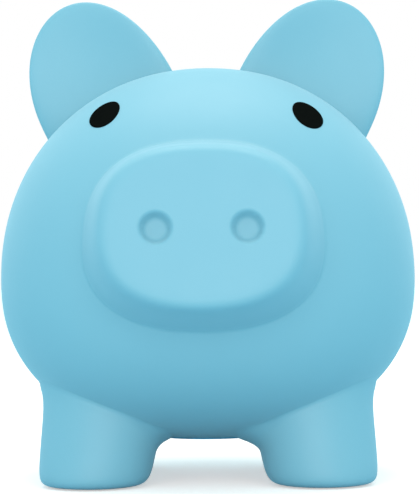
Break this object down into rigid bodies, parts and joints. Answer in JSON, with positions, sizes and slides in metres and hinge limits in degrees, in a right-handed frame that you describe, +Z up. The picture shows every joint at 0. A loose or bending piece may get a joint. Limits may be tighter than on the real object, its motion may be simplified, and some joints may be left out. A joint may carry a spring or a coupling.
{
  "type": "piggy bank",
  "caption": "Hollow soft-vinyl coin bank shaped as a plump standing pig, with a coin slot along the back and a pull-out plug in the belly.",
  "frame": {"origin": "on the floor under the middle of the whole pig's box: its length, its width and the level of its soles", "axes": "+Z up; the pig looks along -Y and its tail is at +Y; +X is the pig's own left"},
  "size_m": [0.124, 0.1539, 0.144],
  "materials": {
    "vinyl_blue": "matte light-blue soft vinyl",
    "eye_black": "flat black printed ink",
    "plug_vinyl": "satin flexible vinyl"
  },
  "bodies": {
    "pig": {"body_shell": "vinyl_blue", "ear_left": "vinyl_blue", "ear_right": "vinyl_blue", "tail": "vinyl_blue", "eye_left": "eye_black", "eye_right": "eye_black"},
    "plug": {"belly_plug": "plug_vinyl"}
  },
  "joints": [
    {"name": "plug_pull", "type": "slide", "parent": "pig", "child": "plug", "axis": [0, 0, -1], "range_m": [0, 0.011]}
  ]
}
